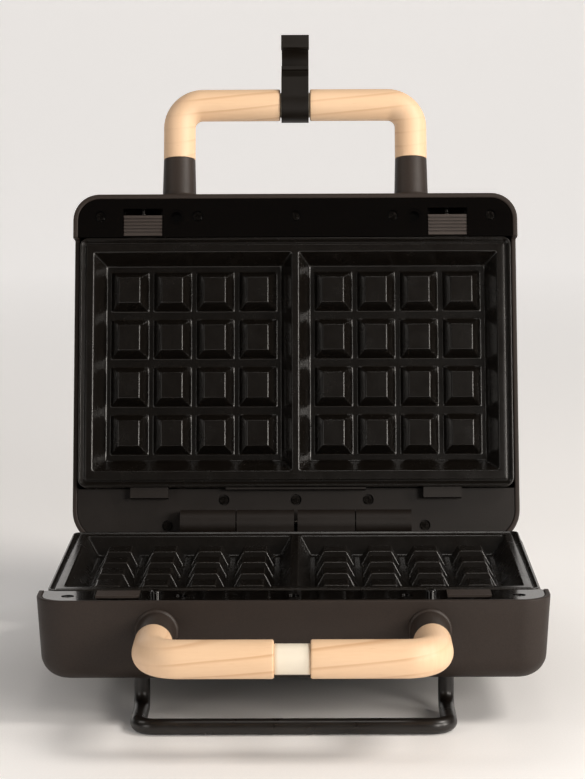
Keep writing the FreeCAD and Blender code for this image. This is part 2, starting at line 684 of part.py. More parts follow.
def build():
    nodes = {
        "base_housing": base_housing(),
        "base_control_strip": strip(sockets=False),
        "base_rear_cover": rear_cover(BASE_COVER_Z, BASE_KNUCKLES),
        "base_hinge_bracket": hinge_bracket(BASE_COVER_Z, BASE_KNUCKLES, HINGE_PIN_R),
        "base_plate_catches": catches(BASE_COVER_Z),
        "base_rear_screws": cover_screws(BASE_COVER_Z),
        "hinge_pin": hinge_pin(),
        "locating_pins": locating_pins(),
        "cord_gland": cord_gland(),
        "front_stand": stand(False),
        "rear_stand": stand(True),
        "stand_screws": stand_screws(),
        "thermostat": thermostat(),
        "terminal_block": terminal_block(),
    }
    lid_only = {
        "lid_housing": lid_housing(),
        "lid_control_strip": strip(sockets=True),
        "lid_rear_cover": rear_cover(LID_COVER_Z, LID_KNUCKLES),
        "lid_hinge_bracket": hinge_bracket(LID_COVER_Z, LID_KNUCKLES, HINGE_PIN_R + 0.05),
        "lid_plate_catches": catches(LID_COVER_Z),
        "lid_rear_screws": cover_screws(LID_COVER_Z),
        "thermal_fuse": thermal_fuse(),
        "power_lens": indicator_lens(-1),
        "ready_lens": indicator_lens(1),
        "lamp_board": lamp_board(),
    }
    both = {
        "plate": plate(),
        "heating_element": heating_element(),
        "heater_clips": heater_clips(),
        "reflector": reflector(),
        "strip_screws": strip_screws(),
        "handle_core": handle_core(),
        "handle_nuts": handle_nuts(),
        "handle_collars": collars(),
        "handle_sleeve": handle_sleeve(),
        "left_grip": grip(-1),
        "right_grip": grip(1),
        "left_button": button(-1),
        "right_button": button(1),
        "left_button_spring": button_spring(-1),
        "right_button_spring": button_spring(1),
    }
    for name, shape in lid_only.items():
        nodes[name] = opened(as_group(shape))
    for name, shape in both.items():
        nodes["base_" + name] = as_group(shape)
        nodes["lid_" + name] = opened(as_group(shape))
    nodes["handle_clip"] = placed_clip()
    return {name: as_group(shape) for name, shape in nodes.items()}


def main():
    os.makedirs("parts", exist_ok=True)
    nodes = build()
    bounds = FreeCAD.BoundBox()
    for shape in nodes.values():
        bounds.add(shape.optimalBoundingBox(False, False))
    shift = V(0, -(bounds.YMin + bounds.YMax) / 2, -bounds.ZMin)
    print("shift from design frame", [round(c, 4) for c in shift])
    print("size", [round(c, 2) for c in (bounds.XLength, bounds.YLength, bounds.ZLength)])
    for name, shape in nodes.items():
        if not shape.isValid():
            print("invalid shape:", name)
        moved = shape.copy()
        moved.translate(shift)
        moved.exportStep("parts/%s.step" % name)
        print("%-28s %2d solids  %9.1f mm3" % (name, len(moved.Solids), moved.Volume))


main()
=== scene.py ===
import json
import math

import bmesh
import bpy
import numpy as np
from mathutils import Matrix, Vector


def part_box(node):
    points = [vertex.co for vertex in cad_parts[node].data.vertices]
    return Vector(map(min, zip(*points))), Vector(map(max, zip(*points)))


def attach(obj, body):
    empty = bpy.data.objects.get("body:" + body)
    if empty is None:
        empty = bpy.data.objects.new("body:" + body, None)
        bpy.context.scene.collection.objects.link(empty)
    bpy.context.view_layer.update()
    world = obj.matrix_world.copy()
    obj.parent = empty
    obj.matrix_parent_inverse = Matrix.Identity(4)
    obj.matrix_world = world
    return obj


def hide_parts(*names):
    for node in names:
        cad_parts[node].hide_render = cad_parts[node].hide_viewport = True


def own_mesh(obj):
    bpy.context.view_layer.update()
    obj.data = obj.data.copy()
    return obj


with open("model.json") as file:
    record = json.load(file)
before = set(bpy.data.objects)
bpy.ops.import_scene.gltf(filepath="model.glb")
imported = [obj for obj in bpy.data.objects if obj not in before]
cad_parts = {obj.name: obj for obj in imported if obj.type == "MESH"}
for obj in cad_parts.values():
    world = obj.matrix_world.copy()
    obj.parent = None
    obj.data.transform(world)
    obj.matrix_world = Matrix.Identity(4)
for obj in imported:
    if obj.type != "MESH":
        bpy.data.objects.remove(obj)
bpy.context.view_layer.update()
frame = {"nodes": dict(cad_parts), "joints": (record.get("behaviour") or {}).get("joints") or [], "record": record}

# Everything below is modelled in the design frame of the base: X to the right, Y from the front rim
# towards the hinge, Z up from the split plane, in millimetres. piece() moves it into the row frame.
# Pieces of the lid are drawn the same way, mirrored in the split plane and opened about the hinge.

MM = 0.001
MERGE_DISTANCE = 1e-6
JOINTS = {j["name"]: j for j in frame["joints"]}
HINGE = Vector(JOINTS["lid_hinge"]["pos_m"])
OPEN_ANGLE = math.radians(JOINTS["lid_hinge"]["range_deg"][1])
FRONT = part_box("base_housing")[0].y
SPLIT = HINGE.z
BASE = Matrix.Translation((0, FRONT, SPLIT)) @ Matrix.Diagonal((MM, MM, MM, 1))
LID = (Matrix.Translation(HINGE) @ Matrix.Rotation(-OPEN_ANGLE, 4, "X")
       @ Matrix.Diagonal((1, 1, -1, 1)) @ Matrix.Translation(-HINGE) @ BASE)
HALVES = {"base": BASE, "lid": LID}

# Housings
WIDTH = 280.0
DEPTH = 221.0
HEIGHT = 46.0
WALL = 3.0
LEAN = math.tan(math.radians(3.0))
FRONT_CORNER = 16.5
REAR_CORNER = 20.5
EDGE_ROUND = 13.0
STEP_Y = 28.0
SIDE_CUT = 9.7
REAR_CUT = 18.4
REAR_CUT_Y = 210.0
BEFORE_STEP = (19.0, 23.0)
AFTER_STEP = (40.0, 80.0, 130.0, 170.0)
STEP_ROUND = 0.9
REAR_STEP_TURN = 2.0
LEAST_PULL = 0.05
RIM_ROUND = 0.7
FLOOR_OVERLAP = 4.0
INNER_SLOPE = 8.0

# Plates
PLATE_HALF = 135.4
PLATE_FRONT = 28.3
PLATE_REAR = 185.8
PLATE_CORNER = 5.0
PLATE_THICK = 16.0
LEAST_CORNER = 0.02
PLATE_FACE_INSET = 6.4
LAND = -0.6
FLOOR = -11.8
TOP = -3.5
RIM = -0.2
# Arcs of the plate's raised edge and the groove inside it: (distance in from the side, height of
# the centre, radius, first angle, last angle)
PLATE_EDGE = (
    (0.4, RIM - 0.4, 0.4, 180, 90),
    (0.95, RIM - 0.35, 0.35, 90, 40),
    (3.2, -1.45, 0.45, 220, 270),
    (4.0, -1.55, 0.35, -90, 0),
    (4.65, LAND - 0.3, 0.3, 180, 90),
)
CAVITY = (2.2, 126.7, 37.4, 176.0)
CAVITY_FLOOR = (8.8, 119.4, 44.3, 168.5)
PITCH = (26.9, 30.3)
BLOCK_BASE = (11.6, 12.4)
BLOCK_TOP = (6.7, 8.1)
ROWS = 4
UNDER_FLOOR = 4.0
GRID_MARGIN = 1.0
# How softly the faces of the cooking side run into each other
WALL_BLEND = 2.6
FLOOR_BLEND = 1.2
FLANK_BLEND = 1.1
TOP_BLEND = 0.8
FOOT_BLEND = 1.1
LAND_BLEND = 0.9

# Handles
HANDLE_X = 73.8
HANDLE_OUT = 61.4
HANDLE_Z = -16.6
GRIP_R = 10.15
BEND_R = 15.0
COLLAR_END = 25.9
COLLAR_R = 10.7
COLLAR_TIP_R = 10.1
SLEEVE_R = 8.05
SLEEVE_HALF = 9.5
SLEEVE_EDGE = 0.5
GRIP_END_ROUNDS = (0.35, 1.0)
COLLAR_EDGE = 0.6
# The flare of a collar where it meets the housing: (distance along the handle, added radius)
COLLAR_FLARE = ((-2.6, 0.0), (-1.9, 0.12), (-1.6, 0.6), (-1.3, 1.0), (-0.7, 1.2))
COLLAR_SUNK = 1.6

# Stands
LEG_X = 84.0
LEG_Y = 30.0
FOOT_Y = -14.0
FOOT_Z = -65.9
STAND_BENDS = (9.0, 10.0, 10.0, 9.0)
STAND_WIRE_R = 4.4

# Release sliders and their springs
BUTTON_X = 95.9
SPRING_SEAT = 6.9
SPRING_LUG = 14.2
SPRING_Z = -7.6
COIL_R = 1.2
SPRING_WIRE_R = 0.25
COIL_TURNS = 6.0


# ---- Mesh helpers ----

def piece(name, net, body, slot, replaces, sharp=50.0):
    """A mesh in the design frame of one half, moved into place, riding on that half's body."""
    mesh = bpy.data.meshes.new(name)
    mesh.from_pydata([tuple(v) for v in net.verts], [], [tuple(f) for f in net.faces])
    mesh.transform(HALVES[body])
    bm = bmesh.new()
    bm.from_mesh(mesh)
    bmesh.ops.remove_doubles(bm, verts=bm.verts, dist=MERGE_DISTANCE)
    bmesh.ops.recalc_face_normals(bm, faces=bm.faces)
    bm.to_mesh(mesh)
    bm.free()
    mesh.update()
    mesh.shade_smooth()
    mesh.set_sharp_from_angle(angle=math.radians(sharp))
    mesh.materials.append(MATERIALS[slot])
    obj = bpy.data.objects.new(name, mesh)
    bpy.context.scene.collection.objects.link(obj)
    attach(obj, body)
    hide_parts(*replaces)
    return obj


class Net:
    """Vertices and faces gathered from several strips of rings."""

    def __init__(self):
        self.verts = []
        self.faces = []

    def rings(self, rings, cap_end=True):
        """Joins closed rings one to the next, with a face over the first and the last."""
        base = len(self.verts)
        count = len(rings[0])
        for r in rings:
            self.verts.extend(r)
        for i in range(len(rings) - 1):
            for k in range(count):
                a = base + i * count + k
                b = base + i * count + (k + 1) % count
                self.faces.append((a, b, b + count, a + count))
        self.faces.append([base + k for k in range(count)])
        if cap_end:
            end = base + (len(rings) - 1) * count
            self.faces.append([end + k for k in reversed(range(count))])

    def grid(self, xs, ys, height):
        """Quads over a table of heights, one row of it for each Y."""
        base = len(self.verts)
        for y_row, z_row in zip(ys, height):
            for x, z in zip(xs, z_row):
                self.verts.append((x, y_row, z))
        n = len(xs)
        for j in range(len(ys) - 1):
            for i in range(n - 1):
                a = base + j * n + i
                self.faces.append((a, a + 1, a + 1 + n, a + n))


def quarter_turn(steps=4):
    """Angles from 0 to a right angle."""
    return [math.pi / 2 * i / steps for i in range(steps + 1)]


def arc_points(cx, cy, radius, start, end, count):
    """Points along an arc about a centre, from one angle to another."""
    return [(cx + radius * math.cos(start + (end - start) * i / count),
             cy + radius * math.sin(start + (end - start) * i / count)) for i in range(count + 1)]


def lathe(profile, centre, axis, segments=48):
    """Rings of a profile of (distance along axis, radius) about an axis 'X' or 'Y'."""
    rings = []
    for along, radius in profile:
        ring = []
        for k in range(segments):
            a = 2 * math.pi * k / segments
            p = {"X": (along, radius * math.cos(a), radius * math.sin(a)),
                 "Y": (radius * math.sin(a), along, radius * math.cos(a))}[axis]
            ring.append(tuple(c + d for c, d in zip(centre, p)))
        rings.append(ring)
    return rings


def rounded_path(points, radii, arc_steps=14, run_step=6.0, closest=1e-4):
    """Points along straight runs joined by tangent arcs, with the direction at each."""
    points = [Vector(p) for p in points]
    path = []

    def run(a, b):
        steps = max(1, int((b - a).length / run_step))
        direction = (b - a).normalized()
        for i in range(steps + 1):
            path.append((a.lerp(b, i / steps), direction))

    start = points[0]
    for before, corner, after, r in zip(points, points[1:], points[2:], radii):
        into = (corner - before).normalized()
        out = (after - corner).normalized()
        turn = into.angle(out)
        reach = r * math.tan(turn / 2)
        a = corner - into * reach
        centre = corner + (out - into).normalized() * (r / math.cos(turn / 2))
        axis = into.cross(out).normalized()
        run(start, a)
        for i in range(1, arc_steps):
            spin = Matrix.Rotation(turn * i / arc_steps, 3, axis)
            path.append((centre + spin @ (a - centre), spin @ into))
        start = corner + out * reach
    run(start, points[-1])
    clean = [path[0]]
    for p in path[1:]:
        if (p[0] - clean[-1][0]).length > closest:
            clean.append(p)
    return clean


def tube_rings(points, radii, radius, segments, end_round=(0.0, 0.0)):
    """Rings of a round bar along a bent path, its two ends rounded by their own radii."""
    path = rounded_path(points, radii)
    side = Vector((0, 0, 1)) if abs(path[0][1].z) < 0.9 else Vector((1, 0, 0))
    rings = []

    def ring(centre, direction, r):
        nonlocal side
        side = (side - direction * side.dot(direction)).normalized()
        up = direction.cross(side)
        rings.append([tuple(centre + (side * math.cos(a) + up * math.sin(a)) * r)
                      for a in (2 * math.pi * k / segments for k in range(segments))])

    def end_rings(centre, direction, inward, rounding):
        steps = 5
        for i in range(steps):
            a = math.pi / 2 * (1 - i / steps)
            ring(centre + direction * inward * rounding * (1 - math.sin(a)),
                 direction, radius - rounding * (1 - math.cos(a)))

    first, last = path[0], path[-1]
    if end_round[0]:
        end_rings(first[0], first[1], 1, end_round[0])
        path = [(first[0] + first[1] * end_round[0], first[1])] + path[1:]
    if end_round[1]:
        path = path[:-1] + [(last[0] - last[1] * end_round[1], last[1])]
    for centre, direction in path:
        ring(centre, direction, radius)
    if end_round[1]:
        before = len(rings)
        end_rings(last[0], last[1], -1, end_round[1])
        rings[before:] = list(reversed(rings[before:]))
    return rings


def rounded_rect(x0, x1, y0, y1, r, arc_steps=10):
    """Points round a rectangle, always the same number, starting at the front right corner."""
    quarter = math.pi / 2
    points = []
    for cx, cy, start in ((x1 - r, y0 + r, -quarter), (x1 - r, y1 - r, 0.0),
                          (x0 + r, y1 - r, quarter), (x0 + r, y0 + r, 2 * quarter)):
        points += arc_points(cx, cy, r, start, start + quarter, arc_steps)
    return points


# ---- Procedural materials ----

class Shader:
    """A Principled material with its coordinates in metres, built up node by node."""

    def __init__(self, name, **inputs):
        self.mat = bpy.data.materials.new(name)
        self.mat.use_nodes = True
        self.tree = self.mat.node_tree
        self.bsdf = self.tree.nodes["Principled BSDF"]
        for key, value in inputs.items():
            self.bsdf.inputs[key.replace("_", " ")].default_value = value
        self.coords = self.tree.nodes.new("ShaderNodeTexCoord").outputs["Object"]

    def node(self, kind, **settings):
        node = self.tree.nodes.new("ShaderNode" + kind)
        for key, value in settings.items():
            setattr(node, key, value)
        return node

    def link(self, a, b):
        self.tree.links.new(a, b)

    def mapped(self, scale=(1, 1, 1), turn=(0, 0, 0)):
        node = self.node("Mapping")
        node.inputs["Scale"].default_value = scale
        node.inputs["Rotation"].default_value = turn
        self.link(self.coords, node.inputs["Vector"])
        return node.outputs["Vector"]

    def noise(self, scale, detail=4.0, rough=0.55, vector=None):
        node = self.node("TexNoise")
        node.inputs["Scale"].default_value = scale
        node.inputs["Detail"].default_value = detail
        node.inputs["Roughness"].default_value = rough
        self.link(vector or self.coords, node.inputs["Vector"])
        return node.outputs["Fac"]

    def voronoi(self, scale, vector=None):
        node = self.node("TexVoronoi")
        node.inputs["Scale"].default_value = scale
        self.link(vector or self.coords, node.inputs["Vector"])
        return node.outputs["Distance"]

    def remap(self, value, low, high, from_low=0.0, from_high=1.0):
        """Takes a value from the range (from_low, from_high) to (low, high), held at its ends."""
        node = self.node("MapRange")
        node.inputs["From Min"].default_value = from_low
        node.inputs["From Max"].default_value = from_high
        node.inputs["To Min"].default_value = low
        node.inputs["To Max"].default_value = high
        self.link(value, node.inputs["Value"])
        return node.outputs["Result"]

    def ramp(self, value, stops):
        node = self.node("ValToRGB")
        elements = node.color_ramp.elements
        while len(elements) < len(stops):
            elements.new(0.5)
        for element, (pos, colour) in zip(elements, stops):
            element.position = pos
            element.color = (*colour, 1)
        self.link(value, node.inputs["Fac"])
        return node.outputs["Color"]

    def mix(self, factor, a, b):
        """Mixes two colours; each input is a number, a colour or a socket."""
        node = self.node("Mix", data_type="RGBA")
        for socket, value in ((node.inputs["Factor"], factor), (node.inputs["A"], a),
                              (node.inputs["B"], b)):
            if isinstance(value, (float, int)):
                socket.default_value = value
            elif isinstance(value, tuple):
                socket.default_value = (*value, 1)
            else:
                self.link(value, socket)
        return [s for s in node.outputs if s.type == "RGBA"][0]

    def math(self, operation, a, b):
        node = self.node("Math", operation=operation)
        for socket, value in zip(node.inputs, (a, b)):
            if isinstance(value, (float, int)):
                socket.default_value = value
            else:
                self.link(value, socket)
        return node.outputs["Value"]

    def edges(self, radius):
        """About 1 along worn convex edges, from how far the surface bends."""
        node = self.node("NewGeometry")
        flat = 0.5
        return self.remap(node.outputs["Pointiness"], 0.0, 1.0, flat + radius, flat + 2 * radius)

    def colour(self, socket):
        self.link(socket, self.bsdf.inputs["Base Color"])

    def roughness(self, socket):
        self.link(socket, self.bsdf.inputs["Roughness"])

    def bump(self, *layers):
        """Layers of (height socket, strength, distance in metres), laid on each other."""
        normal = None
        for height, strength, distance in layers:
            node = self.node("Bump")
            node.inputs["Strength"].default_value = strength
            node.inputs["Distance"].default_value = distance
            self.link(height, node.inputs["Height"])
            if normal:
                self.link(normal, node.inputs["Normal"])
            normal = node.outputs["Normal"]
        self.link(normal, self.bsdf.inputs["Normal"])


def moulded_plastic(name, colour, rough, grain=0.5, scale=2600.0, specular=0.5):
    """Moulded plastic: fine spark-eroded texture, slight cloudiness and faint handling marks."""
    s = Shader(name, Specular_IOR_Level=specular)
    cloud = s.noise(14, 3)
    tint = tuple(min(1.0, c * 1.3 + 0.001) for c in colour)
    speckle = s.remap(s.noise(1300, 2, 0.7), 0.0, 0.4, 0.40, 0.62)
    toned = s.mix(s.remap(cloud, 0.0, 1.0, 0.3, 0.7), colour, tint)
    s.colour(s.mix(speckle, toned, tuple(c * 0.45 for c in colour)))
    marks = s.noise(55, 6, 0.7)
    s.roughness(s.remap(marks, rough - 0.05, rough + 0.07, 0.3, 0.7))
    s.bump((s.noise(scale, 2, 0.6), grain, 0.00006), (s.noise(160, 3), 0.08, 0.0003))
    return s.mat


def gloss_plastic(name, colour, rough=0.08):
    """Polished plastic with a little orange peel and fine wipe marks in its gloss."""
    s = Shader(name, Specular_IOR_Level=0.4)
    s.bsdf.inputs["Coat Weight"].default_value = 0.2
    s.bsdf.inputs["Coat Roughness"].default_value = 0.05
    cloud = s.noise(9, 2)
    s.colour(s.mix(cloud, colour, tuple(c * 1.5 for c in colour)))
    wipes = s.noise(30, 5, 0.6, s.mapped((1, 9, 9)))
    s.roughness(s.remap(wipes, rough, rough + 0.08, 0.35, 0.75))
    s.bump((s.noise(120, 2), 0.05, 0.0003))
    return s.mat


def nonstick():
    """Sprayed non-stick coat over cast aluminium: satin black with a fine speckle."""
    s = Shader("nonstick_coat")
    speckle = s.remap(s.voronoi(1500), 0.0, 1.0, 0.10, 0.26)
    base = s.mix(speckle, (0.020, 0.0155, 0.012), (0.0038, 0.0028, 0.0020))
    worn = s.math("MULTIPLY", s.edges(0.02), s.noise(60, 4))
    s.colour(s.mix(worn, base, (0.026, 0.022, 0.018)))
    s.roughness(s.remap(s.noise(70, 5, 0.65), 0.21, 0.29, 0.3, 0.7))
    s.bump((s.noise(1500, 3, 0.6), 0.22, 0.00004), (s.noise(240, 3), 0.03, 0.0002))
    return s.mat


def maple():
    """Pale lacquered maple: a bar's grain runs along X, that of the two posts along the posts."""
    s = Shader("maple")
    s.bsdf.inputs["Coat Weight"].default_value = 0.08
    s.bsdf.inputs["Coat Roughness"].default_value = 0.3
    split = s.node("SeparateXYZ")
    s.link(s.coords, split.inputs["Vector"])
    post = s.remap(s.math("ABSOLUTE", split.outputs["X"], 0.0), 0.0, 1.0, 0.058, 0.072)
    fibres = s.mix(post, s.noise(16, 6, 0.65, s.mapped((5.0, 60.0, 60.0), (0.05, 0.04, 0.03))),
                   s.noise(16, 5, 0.6, s.mapped((55.0, 5.0, 5.0))))
    growth = s.node("TexWave", wave_type="BANDS", bands_direction="Z", wave_profile="SAW")
    growth.inputs["Scale"].default_value = 40
    growth.inputs["Distortion"].default_value = 3.2
    growth.inputs["Detail"].default_value = 2.0
    growth.inputs["Detail Scale"].default_value = 0.6
    s.link(s.mapped((0.22, 0.6, 1.0), (0.0, 0.42, 0.0)), growth.inputs["Vector"])
    lined = s.ramp(growth.outputs["Fac"], ((0.0, (0.815, 0.56, 0.35)), (0.78, (0.815, 0.555, 0.345)),
                                           (0.94, (0.63, 0.375, 0.20)), (1.0, (0.78, 0.52, 0.315))))
    plain = s.mix(s.remap(post, 0.0, 0.75), lined, (0.81, 0.55, 0.345))
    mottled = s.mix(s.remap(fibres, 0.0, 0.35, 0.42, 0.75), plain, (0.72, 0.455, 0.27))
    broad = s.noise(22, 3, 0.5, s.mapped((0.35, 1, 1)))
    toned = s.mix(s.remap(broad, 0.0, 0.45, 0.35, 0.7), mottled, (0.84, 0.60, 0.40))
    pores = s.remap(s.voronoi(420, s.mapped((0.10, 1.0, 1.0))), 0.45, 0.0, 0.0, 0.11)
    s.colour(s.mix(pores, toned, (0.62, 0.37, 0.21)))
    s.roughness(s.remap(fibres, 0.42, 0.56, 0.3, 0.7))
    s.bump((fibres, 0.08, 0.0002), (pores, -0.10, 0.0001))
    return s.mat


def cream_plastic():
    """Cream plastic with a faint cloudiness and a fine texture."""
    s = Shader("cream_sleeve")
    cloud = s.noise(40, 3)
    s.colour(s.mix(cloud, (0.80, 0.72, 0.58), (0.86, 0.79, 0.66)))
    s.roughness(s.remap(s.noise(90, 4), 0.38, 0.5, 0.3, 0.7))
    s.bump((s.noise(1500, 2), 0.2, 0.00005))
    return s.mat


def powder_coat():
    """Satin powder coat on wire, with its fine orange peel."""
    s = Shader("powder_coat")
    s.colour(s.mix(s.noise(35, 3), (0.005, 0.0034, 0.0024), (0.009, 0.0066, 0.005)))
    s.roughness(s.remap(s.noise(80, 4), 0.26, 0.40, 0.3, 0.7))
    s.bump((s.noise(900, 2), 0.25, 0.0001))
    return s.mat


def metal(name, colour, rough, brush=(1, 40, 40), scale=90.0):
    """Bare metal with fine drawn or turned marks and slightly uneven polish."""
    s = Shader(name, Metallic=1.0)
    marks = s.noise(scale, 4, 0.6, s.mapped(brush))
    s.colour(s.mix(marks, tuple(c * 0.82 for c in colour), colour))
    s.roughness(s.remap(marks, rough - 0.07, rough + 0.1, 0.3, 0.7))
    s.bump((marks, 0.12, 0.00006))
    return s.mat


def rubber():
    """Matt black rubber."""
    s = Shader("gland_rubber")
    s.colour(s.mix(s.noise(60, 3), (0.012, 0.012, 0.012), (0.024, 0.023, 0.022)))
    s.roughness(s.remap(s.noise(100, 4), 0.6, 0.78, 0.3, 0.7))
    s.bump((s.noise(1400, 2), 0.4, 0.0001))
    return s.mat


def lens(name, colour):
    """Tinted lamp lens with a fine dimpled face."""
    s = Shader(name, Transmission_Weight=0.35)
    s.colour(s.mix(s.noise(200, 2), colour, tuple(min(1, c * 1.4) for c in colour)))
    s.roughness(s.remap(s.noise(150, 3), 0.12, 0.22))
    s.bump((s.voronoi(900), 0.15, 0.0001))
    return s.mat


MATERIALS = {
    "housing": moulded_plastic("housing_plastic", (0.0200, 0.0125, 0.0088), 0.56, 0.9, 2100.0, 0.35),
    "strip": gloss_plastic("strip_gloss", (0.0010, 0.0006, 0.0004)),
    "cover": moulded_plastic("cover_plastic", (0.0075, 0.0046, 0.0029), 0.48, 1.0, 1700.0, 0.35),
    "button": moulded_plastic("button_plastic", (0.042, 0.032, 0.027), 0.40, 0.4),
    "nonstick": nonstick(),
    "wood": maple(),
    "sleeve": cream_plastic(),
    "collar": moulded_plastic("collar_plastic", (0.0270, 0.0185, 0.0140), 0.50, 0.7, 2100.0, 0.4),
    "clip": moulded_plastic("clip_nylon", (0.0065, 0.0045, 0.0028), 0.44, 0.3, 2600.0, 0.25),
    "stand": powder_coat(),
    "screw": metal("blackened_screw", (0.040, 0.035, 0.031), 0.24, (1, 1, 1), 500),
    "steel": metal("drawn_steel", (0.60, 0.59, 0.57), 0.28),
    "spring_steel": metal("spring_wire", (0.10, 0.095, 0.09), 0.35, (1, 1, 1), 600),
    "heater": metal("heater_tube", (0.30, 0.27, 0.24), 0.45, (1, 1, 1), 120),
    "reflector": metal("reflector_sheet", (0.78, 0.78, 0.78), 0.30, (1, 25, 25), 60),
    "rubber": rubber(),
    "thermostat": metal("thermostat_can", (0.62, 0.62, 0.62), 0.35, (1, 1, 1), 200),
    "terminal": moulded_plastic("terminal_moulding", (0.70, 0.67, 0.60), 0.5, 0.3),
    "fuse": moulded_plastic("fuse_ceramic", (0.74, 0.72, 0.68), 0.6, 0.4),
    "board": moulded_plastic("lamp_laminate", (0.42, 0.29, 0.12), 0.5, 0.3),
    "red_lens": lens("red_lens", (0.45, 0.020, 0.012)),
    "green_lens": lens("green_lens", (0.020, 0.32, 0.07)),
}


# ---- Housings ----

def step_down(kind, at, reach, above, below):
    """Stations of a rounded step in the rim, from the drop above it to the drop below it."""
    return [(kind, at - reach * (1 - math.sin(a)), above + STEP_ROUND * (1 - math.cos(a)))
            for a in quarter_turn()] + [
                (kind, at + reach * (1 - math.cos(a)), below - STEP_ROUND * (1 - math.sin(a)))
                for a in quarter_turn()]


def stations(rear_cut):
    """Where the outline is sampled: (kind, value, how far the rim there is below the split plane).

    kind is 'side' for a Y on the straight side, and 'front' or 'rear' for a corner angle.
    """
    listed = [("front", -90 + 90 * i / 10, -RIM) for i in range(11)]
    listed += [("side", y, -RIM) for y in BEFORE_STEP]
    listed += step_down("side", STEP_Y, STEP_ROUND, -RIM, SIDE_CUT)
    listed += [("side", y, SIDE_CUT) for y in AFTER_STEP]
    if rear_cut > SIDE_CUT:
        cut_angle = math.degrees(math.asin((REAR_CUT_Y - DEPTH + REAR_CORNER) / REAR_CORNER))
        listed += [("rear", cut_angle * i / 4, SIDE_CUT) for i in range(4)]
        listed += step_down("rear", cut_angle, REAR_STEP_TURN, SIDE_CUT, rear_cut)
        listed += [("rear", cut_angle + (90 - cut_angle) * i / 6, rear_cut) for i in range(1, 7)]
    else:
        listed += [("rear", 90 * i / 10, SIDE_CUT) for i in range(11)]
    return listed


def outline_point(kind, value, lean, inset):
    """The point of the right half of the outline at a station, pulled in by a lean and an inset."""
    x1 = WIDTH / 2 - lean
    if kind == "side":
        return x1 - inset, value
    r = FRONT_CORNER if kind == "front" else REAR_CORNER
    cy = lean + r if kind == "front" else DEPTH - lean - r
    a = math.radians(value)
    pull = max(r - inset, LEAST_PULL)
    return x1 - r + pull * math.cos(a), cy + pull * math.sin(a)


def housing(half, rear_cut):
    """A shell: underside, rounded edge, leaning side, rounded rim, and the wall's inner face.

    Each row is (kind, inset, level). 'fixed' counts its inset from the plumb side, 'share' puts its
    level between the edge and the rim, and 'top' counts its level from the rim.
    """
    listed = stations(rear_cut)
    tilt = math.atan(LEAN)
    fillet_z = -HEIGHT + EDGE_ROUND
    fillet_in = -fillet_z * LEAN + EDGE_ROUND / math.cos(tilt)
    rows = [("fixed", fillet_in + FLOOR_OVERLAP, -HEIGHT)]
    rows += [("fixed", across, z) for across, z in
             arc_points(fillet_in, fillet_z, EDGE_ROUND, -math.pi / 2, -math.pi + tilt, 12)]
    rows += [("share", 0.0, share) for share in (0.35, 0.7)]
    rows += [("top", RIM_ROUND * (1 - math.cos(a)), -RIM_ROUND * (1 - math.sin(a)))
             for a in quarter_turn()]
    rows += [("top", WALL - RIM_ROUND * (1 - math.sin(a)), -RIM_ROUND * (1 - math.cos(a)))
             for a in quarter_turn()]
    rows.append(("inner", WALL, fillet_z))
    rows.append(("inner", WALL + INNER_SLOPE, -HEIGHT + WALL))

    rings = []
    for kind, inset, level in rows:
        ring = []
        for station, value, drop in listed:
            top = -drop
            if kind == "share":
                z = fillet_z + (top - fillet_z) * level
            elif kind == "top":
                z = top + level
            else:
                z = level
            lean = -z * LEAN
            x, y = outline_point(station, value, lean, inset - lean if kind == "fixed" else inset)
            ring.append((x, y, z))
        left = [(-x, y, z) for x, y, z in reversed(ring)]
        rings.append(ring + left)
    net = Net()
    net.rings(rings)
    piece(half + "_housing_shell", net, half, "housing", [half + "_housing"])


# ---- Waffle plates ----

def lines(edges, spans, step=0.36, coarse=5.0, closest=0.12):
    """Grid lines from low to high: fine near each edge ramp, coarse elsewhere."""
    low, high = spans
    marks = {low, high}
    for a, b in edges:
        a, b = max(low, a), min(high, b)
        count = max(1, round((b - a) / step))
        marks.update(a + (b - a) * i / count for i in range(count + 1))
    marks = sorted(marks)
    out = [marks[0]]
    for m in marks[1:]:
        gap = m - out[-1]
        if gap < closest:
            continue
        count = max(1, math.ceil(gap / coarse))
        start = out[-1]
        out += [start + gap * i / count for i in range(1, count + 1)]
    return np.array(out)


def smooth_min(a, b, k):
    """The lower of two heights, blended where they are within k of each other."""
    h = np.maximum(k - np.abs(a - b), 0) / k
    return np.minimum(a, b) - h * h * k / 4


def smooth_max(a, b, k):
    return -smooth_min(-a, -b, k)


def ramp(value, start, end):
    """0 at the start and 1 at the end, in a straight line through both."""
    return (value - start) / (end - start)


